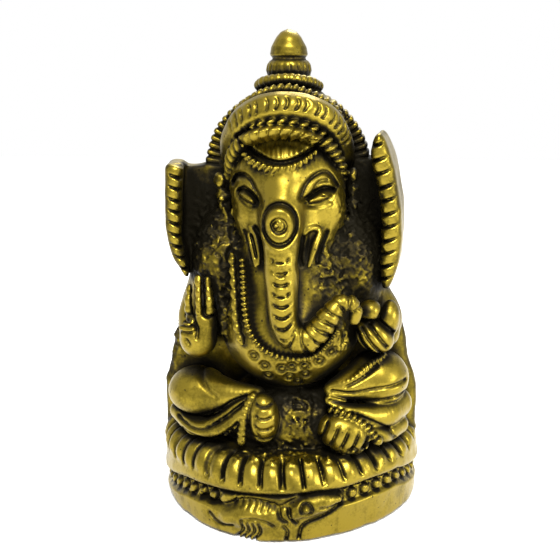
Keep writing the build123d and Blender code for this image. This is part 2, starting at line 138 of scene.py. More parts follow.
class Clay:
    """Blocks of points with their distance to the skin and the node they belong to."""

    def __init__(self, points, margin):
        self.points = points.astype(np.float32)
        self.low = self.points.min(axis=1) - margin
        self.high = self.points.max(axis=1) + margin
        self.skin = np.full(points.shape[:2], FAR, np.float32)
        self.nearest = self.skin.copy()
        self.node = np.zeros(points.shape[:2], np.uint8)

    def near(self, low, high):
        return np.flatnonzero(((self.low < high) & (self.high > low)).all(axis=1))

    def join(self, name, rows, distance, blend):
        old = self.skin[rows]
        overlap = np.maximum(blend - np.abs(old - distance), 0)
        self.skin[rows] = np.minimum(old, distance) - overlap**2 / (4 * blend)
        closer = distance < self.nearest[rows]
        self.nearest[rows] = np.where(closer, distance, self.nearest[rows])
        self.node[rows] = np.where(closer, NUMBER[name], self.node[rows])

    def shape(self, name, low, high, distance, blend=0.5):
        rows = self.near(np.array(low), np.array(high))
        if len(rows):
            self.join(name, rows, distance(self.points[rows]).astype(np.float32), blend)

    def egg(self, name, centre, radii, blend=0.5, turn=(0, 0, 0)):
        spin = np.array(rotation(turn))
        radii = np.array(radii, float)
        centre = np.array(centre, float)
        reach = np.sqrt(((spin * radii) ** 2).sum(axis=1))
        self.shape(name, centre - reach, centre + reach,
                lambda p: egg_distance((p - centre) @ spin, radii), blend)

    def run(self, path, radii, reach, out_from=None, flat=None):
        """Distance to a tapering tube, how far along it each point is, and how far across."""
        path = np.asarray(path, float)
        if flat is not None:
            path = np.stack([path[:, 0], path[:, 0] * 0, path[:, 1]], axis=1)
        radii = np.broadcast_to(np.asarray(radii, float), (len(path),))
        line = smooth(np.column_stack([path, radii]))
        path, radii = line[:, :3], line[:, 3]
        low = path.min(axis=0) - radii.max() - reach
        high = path.max(axis=0) + radii.max() + reach
        if flat is not None:
            low[1], high[1] = flat
        rows = self.near(low, high)
        p = self.points[rows]
        if flat is not None:
            p = p * np.float32([1, 0, 1])
        best = np.full(p.shape[:2], FAR, np.float32)
        along = np.zeros_like(best)
        across = np.zeros_like(best)
        block_low = self.low[rows]
        block_high = self.high[rows]
        travelled = 0.0
        for a, b, near, far in zip(path, path[1:], radii, radii[1:]):
            way = b - a
            length = np.linalg.norm(way)
            size = max(near, far) + reach
            seg_low = np.minimum(a, b) - size
            seg_high = np.maximum(a, b) + size
            if flat is not None:
                seg_low[1], seg_high[1] = flat
            here = np.flatnonzero(((block_low < seg_high) & (block_high > seg_low)).all(axis=1))
            if len(here):
                q = p[here] - a.astype(np.float32)
                t = np.clip(q @ (way / length**2).astype(np.float32), 0, 1)
                v = q - t[..., None] * way.astype(np.float32)
                distance = np.sqrt((v * v).sum(axis=-1)) - (near + (far - near) * t)
                closer = distance < best[here]
                best[here] = np.where(closer, distance, best[here])
                along[here] = np.where(closer, travelled + t * length, along[here])
                out = np.array([0, -1.0, 0]) if out_from is None else (a + b) / 2 - np.array(out_from)
                side = np.cross(way / length, out / np.linalg.norm(out)).astype(np.float32)
                across[here] = np.where(closer, v @ side, across[here])
            travelled += length
        return rows, best, along, across, travelled

    def tube(self, name, path, radii, blend=0.5, texture=None, out_from=None):
        rows, best, along, across, length = self.run(path, radii, 1.2 + blend, out_from)
        if texture is not None:
            best = best - texture(along, across, length)
        self.join(name, rows, best.astype(np.float32), blend)

    def chase(self, path, depth, width, front=(-30, -2), cap=0.0):
        """Cuts a groove along a line of x and z on the front; a negative depth raises a ridge."""
        rows, best, along, _, length = self.run(path, 0.0, 2.2 * width, flat=front)
        taper = np.clip(np.minimum(along, length - along) / (cap + 1e-3), 0.25, 1) if cap else 1.0
        self.skin[rows] += depth * taper * bump(best, width)

    def chases(self, cuts, front=(-30, -2)):
        """Cuts several grooves, each given as its depth, its width and its line."""
        for depth, width, path in cuts:
            self.chase(path, depth, width, front)

    def ring(self, centre, radius, depth=0.3, width=0.22, dot=0.35, front=(-30, -2), squeeze=1.0):
        """A punched ring with a dot in it, on the front."""
        x, z = centre
        reach = radius + 0.8
        rows = self.near(np.array([x - reach, front[0], z - reach]),
                np.array([x + reach, front[1], z + reach]))
        p = self.points[rows]
        r = np.hypot(p[..., 0] - x, (p[..., 2] - z) / squeeze)
        self.skin[rows] += depth * bump(r - radius, width) - dot * bump(r, radius * 0.5)

    def rough(self, centre, radii, amount, grain, shift=0.0):
        """Stippled ground inside an egg-shaped region."""
        centre = np.array(centre, float)
        radii = np.array(radii, float)
        rows = self.near(centre - radii, centre + radii)
        p = self.points[rows]
        inside = np.clip(1.6 - 1.6 * np.sqrt((((p - centre) / radii) ** 2).sum(axis=-1)), 0, 1)
        lumps = noise(p, grain, shift) + 0.5 * noise(p, grain * 0.5, shift + 7.3)
        self.skin[rows] += (amount * inside * lumps).astype(np.float32)

    def claim(self, name, rows, mask):
        """Gives part of the skin to another node."""
        self.node[rows] = np.where(mask, NUMBER[name], self.node[rows])


def rotation(turn):
    """The matrix of turns about x, then y, then z, in degrees."""
    x, y, z = (radians(angle) for angle in turn)
    about_x = np.array([[1, 0, 0], [0, cos(x), -sin(x)], [0, sin(x), cos(x)]])
    about_y = np.array([[cos(y), 0, sin(y)], [0, 1, 0], [-sin(y), 0, cos(y)]])
    about_z = np.array([[cos(z), -sin(z), 0], [sin(z), cos(z), 0], [0, 0, 1]])
    return about_z @ about_y @ about_x


def egg_distance(p, radii):
    """About the distance from a point to an egg round the origin."""
    near = np.sqrt(((p / radii) ** 2).sum(axis=-1))
    slope = np.sqrt(((p / radii**2) ** 2).sum(axis=-1)) + 1e-6
    return near * (near - 1) / slope


def both(a, b, blend):
    """Where two solids meet: the greater distance, with a rounded edge."""
    overlap = np.maximum(blend - np.abs(a - b), 0)
    return np.maximum(a, b) + overlap**2 / (4 * blend)


def box_distance(p, low, high, edge):
    """A box between two corners, with rounded edges."""
    middle = (low + high) / 2
    half = (high - low) / 2
    x, y, z = (np.abs(p[..., axis] - middle[axis]) - half[axis] for axis in range(3))
    return both(both(x, y, edge), z, edge)


# ---- base ----

base_low, base_high = (np.array(corner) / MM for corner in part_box("plinth"))
seat_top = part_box("lotus_cushion")[1][2] / MM
front_lean = 1.2  # the foot of the front swings towards -X
front_power = 1.78  # the plan is a little pointed in front
widest_y = 2.0
half_width = base_high[0]
half_front = widest_y - base_low[1]
half_back = base_high[1] - widest_y
petal_count = 40


def base_plan(p):
    """(distance inside the base's plan, turn round it from the front)."""
    lean = front_lean * (np.minimum(p[..., 1], 0) / 16) ** 2 * (1 - 0.8 * step(p[..., 2], 2, 7))
    x = (p[..., 0] + lean) / half_width
    y = p[..., 1] - widest_y
    deep = np.where(y < 0, half_front, half_back)
    power = np.where(y < 0, front_power, 2.0)
    y = y / deep
    near = (np.abs(x) ** power + np.abs(y) ** power) ** (1 / power) + 1e-4
    slope = np.hypot(np.abs(x) ** (power - 1) / half_width,
            np.abs(y) ** (power - 1) / deep) / near ** (power - 1)
    return (1 - near) / (slope + 1e-4), np.arctan2(x, -y)


def seam_level(p):
    """Height of the dark seam under the lotus rim: it rises towards +X and in front."""
    along_front = [-21.6, -19.4, -15.9, -12.2, -7.8, -3.1, 0.5, 5.4, 8.2, 11.2, 14.0, 17.6, 21.3]
    heights = [3.9, 5.2, 6.6, 7.2, 7.6, 8.1, 8.3, 8.5, 8.4, 8.5, 8.6, 8.4, 6.5]
    front = np.interp(p[..., 0], along_front, heights)
    behind = 5.15 + 0.06 * p[..., 0]
    return behind + (front - behind) * step(-p[..., 1], -2.5, -1.0)


def band_clear(turn):
    """1 where the bead band is cut in, 0 across the front where the mouse lies."""
    return step(np.abs(turn + 0.03), 0.40, 0.5)


def base_distance(p):
    inside, turn = base_plan(p)
    z = p[..., 2]
    up = z - seam_level(p)
    recess = 0.75 * band_clear(turn) * step(up, -3.0, -2.7) * (1 - step(up, -0.35, 0.05))
    recess = recess + 0.85 * bump(up + 0.15, 0.3) - 0.3 * bump(up - 1.0, 0.9)
    shoulder = 3.4
    across = np.maximum(shoulder + recess - inside, 0)
    top = np.maximum(z - (seat_top - 0.3 - shoulder), 0)
    rounded = np.hypot(across, top) - shoulder
    return both(rounded, 0.2 - z, 0.9)


def model_base(clay):
    low = base_low + [-1, -1, 0]
    high = np.array([base_high[0] + 1, base_high[1] + 1, seat_top])
    clay.shape("plinth", low, high, base_distance, 0.01)
    rows = clay.near(low, high)
    p = clay.points[rows]
    inside, turn = base_plan(p)
    z = p[..., 2]
    up = z - seam_level(p)
    clay.claim("bead_band", rows, (up > -2.9) & (up < 0))
    clay.claim("lotus_cushion", rows, up >= 0)

    # Petals: leaf-shaped ridges with dark gaps on the shoulder, no two quite alike.
    phase = (turn / (2 * pi) + 0.5) * petal_count
    number = np.floor(phase).astype(int)
    wander = chance.uniform(-0.1, 0.1, petal_count + 1)
    tall = chance.uniform(0.6, 1.3, petal_count + 1)
    foot = 9.2 + 0.04 * p[..., 0] + chance.uniform(-0.3, 0.3, petal_count + 1)[number]
    off = phase - number - 0.5 - wander[number] + 0.04 * (z - 11.0)
    leaf = bump(off, 0.26) * step(z, foot - 0.2, foot + 1.4) * (1 - step(inside, 2.2, 4.0))
    gap = (1 - step(0.5 - np.abs(off), 0.03, 0.17)) * step(z, foot,
            foot + 0.7) * (1 - step(inside, 2.9, 4.2))
    clay.skin[rows] += (0.8 * tall[number] * gap - 0.32 * leaf).astype(np.float32)
    clay.claim("lotus_petals", rows, (up > 0.4) & (leaf > 0.35))

    # Beads in punched rings along the band, clear of the mouse.
    bead_count = 50
    bead = (turn / (2 * pi) + 0.5) * bead_count
    around = (bead - np.floor(bead) - 0.5) * 2.45
    r = np.hypot(around, up + 1.55)
    bead_shape = 0.6 * np.sqrt(np.clip(1 - (r / 0.85) ** 2, 0, 1))
    bead_shape = bead_shape - 0.3 * bump(r - 0.95, 0.2) - 0.25 * bump(r, 0.25)
    shown = band_clear(turn) * (1 - step(inside, 1.6, 2.0))
    clay.skin[rows] -= (shown * bead_shape).astype(np.float32)


def model_mouse(clay):
    front = (-19, -12)
    clay.egg("mouse", (-3.6, -15.6, 4.1), (4.6, 2.2, 2.1), 0.7, (0, -4, 0))
    clay.egg("mouse", (-7.4, -14.9, 3.4), (2.6, 1.8, 1.6), 0.6, (0, -18, -12))
    clay.tube("mouse", [(1.4, -16.6, 4.6), (2.6, -16.3, 5.7), (4.6, -15.8, 6.4), (6.6, -15.5, 6.8),
            (8.4, -15.2, 7.0)],
              [1.0, 1.5, 1.85, 1.4, 0.5], 0.4)
    clay.tube("mouse", [(0.9, -16.5, 3.8), (0.8, -16.3, 2.5), (0.6, -16.0, 1.5)], [0.8, 0.65, 0.4], 0.3)
    clay.ring((3.7, 6.2), 0.85, 0.55, 0.26, 0.35, front)
    clay.chases([
        (0.5, 0.25, [(5.8, 6.4), (7.0, 6.2), (8.3, 6.3)]),
        (0.6, 0.3, [(8.6, 5.6), (6.4, 4.3), (4.2, 3.6), (2.9, 2.7), (2.5, 0.9)]),
        (0.6, 0.33, [(-0.5, 5.7), (-0.3, 4.4), (0.7, 3.6)]),
        (0.6, 0.33, [(1.0, 5.9), (1.2, 4.6), (2.2, 3.5)]),
        (0.5, 0.3, [(0.2, 2.9), (0.8, 2.1), (0.6, 0.8)]),
        (0.5, 0.28, [(-6.2, 3.9), (-4.2, 4.3), (-2.3, 3.8), (-1.4, 3.1)]),
    ], front)
    for shift in (0.0, 0.9, 1.8, 2.7):
        clay.chase([(-6.3 + shift, 3.6), (-6.0 + shift, 1.9), (-7.0 + shift, 0.5)], 0.5, 0.24, front)
    clay.chase([(-11.6, 2.9), (-10.1, 1.9), (-7.7, 2.4)], 0.5, 0.27, front)
    clay.chase([(-12.6, 5.0), (-10.4, 4.6), (-8.4, 5.2), (-6.4, 6.4), (-3.4, 6.9), (-0.4, 6.2),
            (1.2, 7.0), (3.0, 8.0)], 0.7, 0.5, front)
    for number in range(7):
        x = -7.4 + 1.0 * number
        clay.chase([(x, 5.6), (x + 0.3, 6.3), (x + 0.2, 7.0)], 0.3, 0.18, front)


# ---- body ----

def slab_distance(p):
    """The slab behind the figure: narrower and thinner towards the head, rounded behind."""
    z = p[..., 2]
    levels = [13, 19, 24, 27, 30.5, 34, 37.5, 46, 56, 60]
    wide = np.interp(z, levels, [21.4, 21.2, 19.8, 19.3, 18.3, 17.2, 15.2, 14.2, 13.0, 12.4])
    deep = np.interp(z, [0, 13, 24, 36, 55, 60], [13.8, 13.6, 12.6, 10.6, 6.8, 6.0])
    x = (p[..., 0] + 0.2) / wide
    y = (p[..., 1] - 3.0) / deep
    near = (np.abs(x) ** 2.4 + np.abs(y) ** 2.4) ** (1 / 2.4)
    body = (near - 1) * np.minimum(wide, deep) * 0.9
    return both(both(body, 1.2 - p[..., 1], 1.2), z - 56.5, 1.0)


def model_body(clay):
    clay.shape("back_slab", (-22.5, 0, 12), (21, 18, 57), slab_distance, 0.8)
    clay.egg("seat_ground", (0.2, -2.5, 15.0), (11.5, 8.4, 7.4), 0.8)
    clay.egg("torso", (0.3, -2.6, 30.6), (10.9, 10.3, 9.8), 0.8)
    clay.egg("torso", (0, -2.4, 39.5), (9.2, 7.6, 8.6), 2.5)
    for side, name in ((-1, "shoulder_right"), (1, "shoulder_left")):
        clay.egg(name, (side * 10.2 - 0.4, -0.6, 41.0), (5.0, 5.6, 8.4), 1.2, (0, side * -8, 0))
        clay.egg(name, (side * 11.7 - 0.6, 0.6, 34.5), (4.2, 4.4, 7.0), 1.5)


def head_shape(clay):
    clay.egg("head", (-0.2, -1.4, 53.0), (9.0, 8.6, 9.6), 0.8)
    clay.egg("head", (0.3, -3.2, 47.4), (7.4, 7.2, 7.4), 1.6)
    clay.egg("head", (-5.0, -4.6, 49.2), (3.2, 3.4, 4.6), 1.2)
    clay.egg("head", (5.4, -4.8, 49.8), (3.3, 3.5, 4.6), 1.2)
    clay.egg("head", (-0.5, -7.0, 51.8), (3.6, 4.4, 7.4), 2.2)


trunk_path = [
    (-0.4, -8.4, 52.6), (-0.5, -10.2, 49.0), (-0.5, -11.3, 45.4), (-0.35, -12.2, 41.4), (-0.2, -12.7,
            37.4),
    (0.1, -13.0, 34.2), (1.2, -13.1, 32.2), (3.0, -13.2, 31.7), (4.9, -13.1, 33.0), (6.5, -12.8, 35.2),
    (8.1, -12.4, 37.0), (9.7, -12.0, 37.1), (10.5, -11.8, 35.8), (10.3, -11.9, 34.6),
]
trunk_radii = [3.3, 3.2, 2.85, 2.5, 2.2, 2.1, 2.05, 2.0, 1.85, 1.6, 1.35, 1.15, 1.0, 0.8]


def trunk_folds(along, across, length):
    """Smile-shaped cuts down the front, then cuts right across the curl."""
    down = step(along, 8.6, 9.6) * (1 - step(along, 20.5, 22.0)) * (1 - step(np.abs(across), 0.9, 1.6))
    curl = step(along, 20.5, 22.0) * (1 - step(along, length - 2.2, length - 0.8))
    smile = (along + 0.36 * across**2) / 1.58
    ring = (along - 0.15 * across) / 1.5
    outer = 0.45 + 0.55 * step(across, -1.6, 0.6)
    def fold(phase):
        place = phase % 1
        return 0.16 * bump(place - 0.72, 0.16) - 0.5 * bump(place - 0.5, 0.12)
    return down * fold(smile) + curl * outer * fold(ring)


def model_trunk(clay):
    clay.tube("trunk", trunk_path, trunk_radii, 0.7, trunk_folds)
    boss = np.array([-0.6, -13.1, 48.8])
    clay.egg("trunk_boss", boss + [0, 0.4, 0], (2.3, 1.1, 2.75), 0.2, (14, 0, 0))
    rows = clay.near(boss - 4, boss + 4)
    p = clay.points[rows] - boss
    r = np.hypot(p[..., 0], p[..., 2] * 0.83)
    front = step(-p[..., 1], -2.4, -1.2)
    bead = np.hypot(p[..., 0] + 0.45, p[..., 2] + 0.05)
    outline = 0.6 * bump(r - 2.35, 0.24) - 0.3 * bump(r - 2.8, 0.3) * step(-p[..., 2], 0.5, 1.6)
    hollow = np.hypot(p[..., 0] + 0.05, p[..., 2] + 0.1) - 1.0
    rings = 0.5 * bump(hollow, 0.22) - 0.4 * bump(bead, 0.32) + 0.3 * bump(bead - 0.55, 0.14)
    clay.skin[rows] += (front * (outline + rings)).astype(np.float32)


def eye(clay, name, brow, lid, lens, below, fold):
    """An almond eye between lid grooves; each line is given by x and z on the face."""
    reach = FACE_FRONT
    rows, best, _, _, _ = clay.run(lens, [0.35, 0.7, 0.3], 1.2, flat=reach)
    clay.skin[rows] += (0.35 * bump(best - 0.2, 0.3) - 0.5 * step(-best, -0.1, 0.5)).astype(np.float32)
    clay.claim(name, rows, best < 0.5)
    clay.chase(lid, 0.6, 0.27, reach)
    clay.chase(brow, 0.5, 0.25, reach)
    clay.chase(below, 0.3, 0.28, reach)
    if fold:
        clay.chase(fold, 0.4, 0.22, reach)


def model_face(clay):
    eye(clay, "eye_right",
        [(-8.2, 53.6), (-7.5, 54.8), (-6.3, 55.1), (-5.2, 54.5), (-4.5, 53.3), (-3.8, 52.2),
                (-3.5, 51.0)],
        [(-7.1, 52.6), (-6.3, 53.2), (-5.3, 52.6), (-4.4, 52.0), (-4.1, 51.3)],
        [(-6.8, 52.2), (-5.6, 51.9), (-4.7, 51.3)],
        [(-7.0, 51.4), (-6.0, 50.7), (-5.1, 50.4), (-4.3, 50.8)], None)
    clay.chase([(-8.3, 53.6), (-7.6, 54.7), (-6.4, 54.9)], 0.45, 0.42, FACE_FRONT)
    eye(clay, "eye_left",
        [(2.2, 52.3), (2.8, 53.9), (3.9, 55.1), (5.3, 55.7), (6.2, 55.3), (6.9, 54.3), (7.4, 53.4)],
        [(2.5, 52.0), (3.6, 52.2), (4.6, 52.9), (5.6, 53.3), (6.9, 52.9)],
        [(3.6, 51.7), (4.9, 52.1), (6.2, 52.2)],
        [(3.2, 50.9), (4.8, 50.7), (6.4, 51.1)],
        [(3.6, 52.4), (4.2, 53.2), (4.4, 53.9), (5.1, 54.4), (6.0, 54.4)])
    clay.chase([(4.4, 52.8), (5.5, 53.3), (6.9, 52.9)], 0.35, 0.42, FACE_FRONT)
    clay.tube("tusk_right", [(-5.3, -8.4, 47.5), (-4.5, -9.3, 46.3), (-4.0, -10.0, 44.6),
            (-3.8, -10.7, 42.6)], [0.35, 0.5, 0.5, 0.3], 0.25)
    clay.tube("tusk_right", [(-5.6, -8.7, 46.4), (-5.1, -9.5, 45.2), (-4.6, -10.1, 43.6),
            (-4.3, -10.5, 42.2)], [0.3, 0.4, 0.4, 0.3], 0.2)
    clay.chases([
        (0.45, 0.27, [(-4.4, 47.5), (-3.6, 46.1), (-3.2, 44.4), (-3.2, 42.6)]),
        (0.4, 0.2, [(-5.0, 46.5), (-4.6, 45.2), (-4.2, 43.4)]),
        (0.45, 0.3, [(-6.2, 46.6), (-5.7, 44.6), (-5.0, 42.2)]),
    ])
    clay.tube("tusk_left", [(2.7, -10.0, 46.8), (3.5, -9.6, 47.6), (4.7, -9.0, 47.6), (5.0, -9.3, 46.8),
            (4.4, -10.1, 45.3),
                            (3.9, -10.5, 43.7), (3.5, -10.9, 42.3)], [0.35, 0.45, 0.45, 0.5, 0.55, 0.5,
                                    0.3], 0.2)
    clay.chases([
        (0.45, 0.25, [(2.6, 46.5), (2.3, 44.7), (2.1, 43.1), (2.4, 42.0)]),
        (0.25, 0.2, [(3.6, 46.8), (3.3, 45.2), (3.1, 43.4)]),
        (0.55, 0.3, [(6.0, 46.8), (5.3, 44.9), (4.8, 43.6), (4.6, 42.2)]),
    ])


# ---- crown ----

crown_core = (-0.4, 2.0, 57.5)
crown_axis = (-0.35, 2.0)
band_path = [
    (-8.9, 1.2, 55.2), (-8.6, -2.4, 58.9), (-6.7, -5.5, 62.3), (-3.7, -7.4, 64.2), (-0.5, -8.0, 64.8),
    (3.2, -7.5, 64.3), (6.1, -5.5, 62.5), (7.9, -2.4, 59.2), (8.4, 1.2, 55.6),
]
rope_path = [
    (-9.0, -2.0, 54.2), (-8.2, -4.9, 57.5), (-6.0, -7.7, 60.2), (-3.2, -9.3, 61.8), (-0.3, -9.9, 62.3),
    (2.7, -9.4, 61.8), (5.5, -7.7, 60.0), (7.5, -4.9, 57.1), (8.4, -2.0, 53.7),
]


def band_punches(along, across, length):
    """A row of crescent punches in the middle stretch of the polished band."""
    pitch = 1.18
    number = np.floor(along / pitch)
    place = (along / pitch - number - 0.5) * pitch + 0.32 * (across - 0.5) ** 2 - 0.15
    place = place + 0.12 * np.sin(number * 2.7) + 0.1 * across
    stretch = step(along, length * 0.27, length * 0.3) * (1 - step(along, length * 0.8, length * 0.84))
    cut = bump(place, 0.17) * (1 - step(np.abs(across - 0.5), 0.7, 1.1)) * stretch
    rim = 0.1 * bump(np.abs(across) - 1.65, 0.25)
    return rim - 0.42 * cut


def rope_twist(pitch, depth, slant):
    """Texture of a twisted rope: slanting strands with dark gaps."""
    def texture(along, across, length):
        phase = (along / pitch + slant * across) % 1
        return depth * (np.abs(np.sin(pi * phase)) - 0.75) * 1.6
    return texture


def beads(pitch, size):
    """Texture of a string of beads on a thin thread."""
    def texture(along, across, length):
        around = (along / pitch % 1 - 0.5) * pitch
        return size * np.sqrt(np.clip(1 - (around / (0.56 * pitch)) ** 2, 0, 1)) - 0.3 * size
    return texture


def finial_distance(p):
    """The finial's collar rings and its cone, as one turned outline about the crown's axis."""
    x = p[..., 0] - crown_axis[0]
    y = p[..., 1] - crown_axis[1]
    z = p[..., 2]
    r = np.hypot(x, y)
    levels = [66.5, 68.2, 68.6, 69.0, 69.4, 69.9, 70.8, 71.3, 71.6, 71.85, 72.2, 73.4, 74.8, 75.6, 76.0,
            76.4]
    sizes = [4.1, 3.9, 3.75, 3.3, 3.35, 3.5, 3.35, 3.0, 2.5, 2.6, 2.95, 2.75, 1.95, 1.15, 0.1, -0.6]
    profile = np.interp(z, levels, sizes)
    nick = 0.3 * bump(np.sin(np.arctan2(y, x) * 9), 0.35) * bump(z - 70.2, 0.8)
    return (r - profile + nick) * 0.8


def model_crown(clay):
    clay.egg("crown_dome", (-0.35, 1.4, 57.0), (9.8, 9.6, 11.4), 0.6)
    halo_front = 0.7

    def halo(p):
        x = p[..., 0] + 0.5
        z = p[..., 2] - 54.6
        r = np.hypot(x, z)
        angle = np.arctan2(x, z)
        cut = bump(np.abs(np.sin(angle * 34)), 0.45) * step(r, 10.2, 10.9) * step(-p[..., 1], -4.2, -2.0)
        edge = 0.3 * bump(np.abs(np.sin(angle * 34)), 0.5)
        face = np.abs(p[..., 1] - halo_front - 2.2) - 2.2 + 0.65 * cut
        return both(both(r - 13.1 + edge, face, 0.6), -z - 2.0, 0.5)

    clay.shape("crown_halo", (-14.5, 0, 52), (13, 7, 68), halo, 0.35)
    clay.tube("crown_band", band_path, [1.5, 1.9, 2.15, 2.25, 2.3, 2.25, 2.15, 1.9, 1.5], 0.35,
            band_punches, crown_core)
    clay.tube("crown_beads", [(-8.9, 1.8, 60.4), (-6.9, -2.0, 64.7), (-0.4, -4.7, 67.3),
            (6.0, -2.0, 65.0), (8.2, 1.8, 60.8)],
              [0.75] * 5, 0.25, rope_twist(1.05, 0.3, 0.35), crown_core)
    clay.tube("crown_beads", [(-4.9, 0.8, 67.6), (-3.6, -1.5, 68.3), (-0.35, -2.9, 68.7),
            (2.9, -1.5, 68.3), (4.2, 0.8, 67.6)],
              [0.6] * 5, 0.2, beads(0.95, 0.4), crown_core)
    clay.shape("finial_collar", (-5, -3, 66), (5, 7, 77), finial_distance, 0.4)
    rows = clay.near(np.array([-5, -3, 72.1]), np.array([5, 7, 77]))
    clay.claim("finial_tip", rows, clay.points[rows][..., 2] > 71.7)
    clay.tube("crown_rope", rope_path, [0.85, 1.0, 1.1, 1.15, 1.15, 1.15, 1.1, 1.0, 0.85], 0.15,
              rope_twist(1.45, 0.42, 0.42), (-0.4, 0, 56))
    # The dark undercut between the rope and the face.
    under = [(-8.0, 56.4), (-5.6, 59.0), (-3.0, 60.4), (-0.5, 60.9), (2.4, 60.3), (5.0, 58.7),
            (7.2, 56.0)]
    clay.chase(under, 0.25, 0.3, ROPE_FRONT)


def model_brow(clay):
    clay.tube("brow_rope", [(-6.4, -7.7, 58.4), (-4.6, -9.2, 57.0), (-1.5, -10.3, 56.3),
            (2.0, -9.8, 57.1), (4.5, -8.3, 58.9)],
              [0.35, 0.6, 0.7, 0.6, 0.35], 0.2, rope_twist(0.95, 0.3, 0.5))
    rows = clay.near(np.array([-6.5, -13, 56]), np.array([5.5, -5, 62]))
    p = clay.points[rows]
    x = p[..., 0] + 0.8
    z = p[..., 2]
    top = 62.4 - 0.045 * x**2
    bottom = 57.5 + 0.085 * x**2
    inside = np.minimum(top - z, (z - bottom) * 0.8)
    flutes = np.abs(np.sin((x + 0.08 * (z - 59)) * pi / 0.72)) ** 0.7
    raised = 0.2 * (1 - flutes) - 0.42 - 0.4 * step(z, 59.3, 61.2)
    outline = 0.45 * bump(inside + 0.25, 0.2)
    clay.skin[rows] += (step(inside, -0.1, 0.3) * raised + outline).astype(np.float32)
    clay.claim("brow_fan", rows, (inside > 0) & (np.abs(x) < 5.2))


# ---- ears ----

def ear(clay, name, side, levels, outer, inner, front, back, notches, wall):
    """A deep ear plate that stands forward, notched on its rim, with a wall behind it."""
    table = smooth(np.column_stack([levels, outer, inner]), 0.5)
    order = np.argsort(table[:, 0])
    table = table[order]

    def plate(p):
        z = p[..., 2]
        middle = np.interp(z, table[:, 0], (table[:, 1] + table[:, 2]) / 2)
        half = np.interp(z, table[:, 0], np.abs(table[:, 1] - table[:, 2]) / 2)
        ends = np.maximum(table[0, 0] - z, z - table[-1, 0])
        lean = 0.12 * (p[..., 1] - front) * side
        sides = (np.abs(p[..., 0] - middle - lean) - half) * 0.92
        depth = np.maximum(front - p[..., 1], p[..., 1] - back)
        solid = both(both(sides, ends, 1.0), depth, 1.4)
        phase = (z - 0.35 * side * (p[..., 0] - middle)) * notches / (table[-1, 0] - table[0, 0])
        rim = step(front + 2.4 - p[..., 1], 0, 1.2)
        wobble = 0.25 * np.sin(phase * 2 * pi * 0.5 + 1.0)
        span = (p[..., 0] - middle) * side / np.maximum(half, 0.5)
        cut = bump((phase + 0.12 * wobble) % 1 - 0.5, 0.1) * (1 - step(span, 0.1, 0.9))
        return solid + rim * 0.5 * cut

    reach_low = min(min(outer), min(inner)) - 1
    reach_high = max(max(outer), max(inner)) + 1
    clay.shape(name, (reach_low, front - 1, levels[0] - 1), (reach_high, back + 1, levels[-1] + 1), plate,
            0.5)
    low, high = (np.array(corner) for corner in wall)
    clay.shape(name, low - 1, high + 1, lambda p: box_distance(p, low, high, 0.6), 1.2)


def model_ears(clay):
    ear(clay, "ear_right", -1, [38.4, 40.0, 42.0, 44.5, 47.5, 51.0, 56.3],
        [-15.8, -16.7, -17.8, -18.5, -18.8, -18.7, -18.4], [-15.3, -15.4, -15.8, -16.4, -16.3, -16.2,
                -15.8],
        -6.0, 3.6, 10, ((-18.0, 0.6, 39.5), (-8.0, 4.0, 55.4)))
    ear(clay, "ear_left", 1, [37.0, 39.0, 41.5, 44.5, 47.5, 51.0, 55.0, 58.5, 61.2],
        [15.1, 16.1, 16.8, 17.1, 17.1, 16.8, 16.0, 14.9, 13.7], [14.6, 14.2, 14.0, 14.1, 14.1, 13.8, 12.8,
                12.2, 12.9],
        -6.2, 3.6, 12, ((7.0, 0.6, 39.5), (15.2, 4.0, 56.6)))
    # Lumpy locks between the ears and the cheeks.
    for x, z in ((-10.6, 53.5), (-10.2, 51.2), (-10.0, 48.8), (-10.2, 46.4), (-10.6, 44.0)):
        clay.egg("ear_right", (x, -2.6, z), (0.9, 1.0, 1.3), 0.4)
    for x, z in ((9.8, 54.6), (9.9, 52.4), (9.8, 50.2), (9.9, 48.0), (10.2, 45.6)):
        clay.egg("ear_left", (x, -2.8, z), (0.8, 1.0, 1.2), 0.4)


# ---- arms ----

